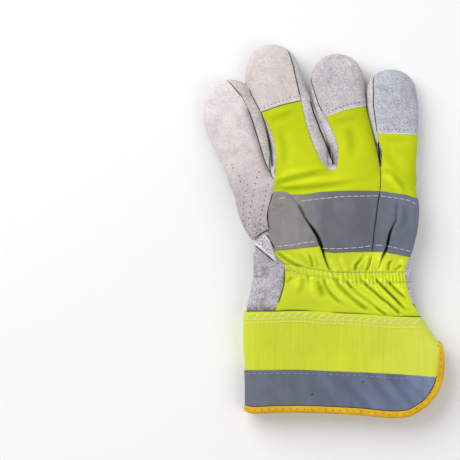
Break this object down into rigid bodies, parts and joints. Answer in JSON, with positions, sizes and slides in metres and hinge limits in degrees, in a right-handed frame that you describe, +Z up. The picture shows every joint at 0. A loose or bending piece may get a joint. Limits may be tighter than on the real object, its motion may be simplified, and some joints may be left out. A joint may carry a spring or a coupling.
{
  "type": "suede and high-visibility fabric work glove",
  "caption": "Hollow right-hand work glove lying palm down, with suede palm, fingertips and index finger, reflective tapes and an open gauntlet cuff.",
  "frame": {"origin": "on the surface that the glove lies on, under the middle of its outline seen from above", "axes": "+Z up from the surface through the back of the glove, +Y from the cuff to the fingertips, +X to the little-finger side"},
  "size_m": [0.1723, 0.2663, 0.0328],
  "materials": {
    "suede_pale": "pale grey split suede, napped, matt",
    "suede_grey": "cool grey split suede, napped, mottled, matt",
    "hi_vis_fabric": "fluorescent yellow woven polyester, slight sheen",
    "hi_vis_canvas": "fluorescent yellow-green canvas, fine ribs, stiffened",
    "reflective": "grey retroreflective tape, satin",
    "binding": "amber woven binding tape, fine ribs"
  },
  "bodies": {
    "root": {"palm": "suede_grey", "index_back": "suede_pale", "thumb": "suede_pale", "thumb_tail": "suede_pale", "main_back": "hi_vis_fabric", "little_back": "hi_vis_fabric", "middle_cap": "suede_pale", "ring_cap": "suede_grey", "little_cap": "suede_grey", "hand_tape": "reflective", "cuff": "hi_vis_canvas", "cuff_tape": "reflective", "cuff_binding": "binding"}
  },
  "joints": []
}
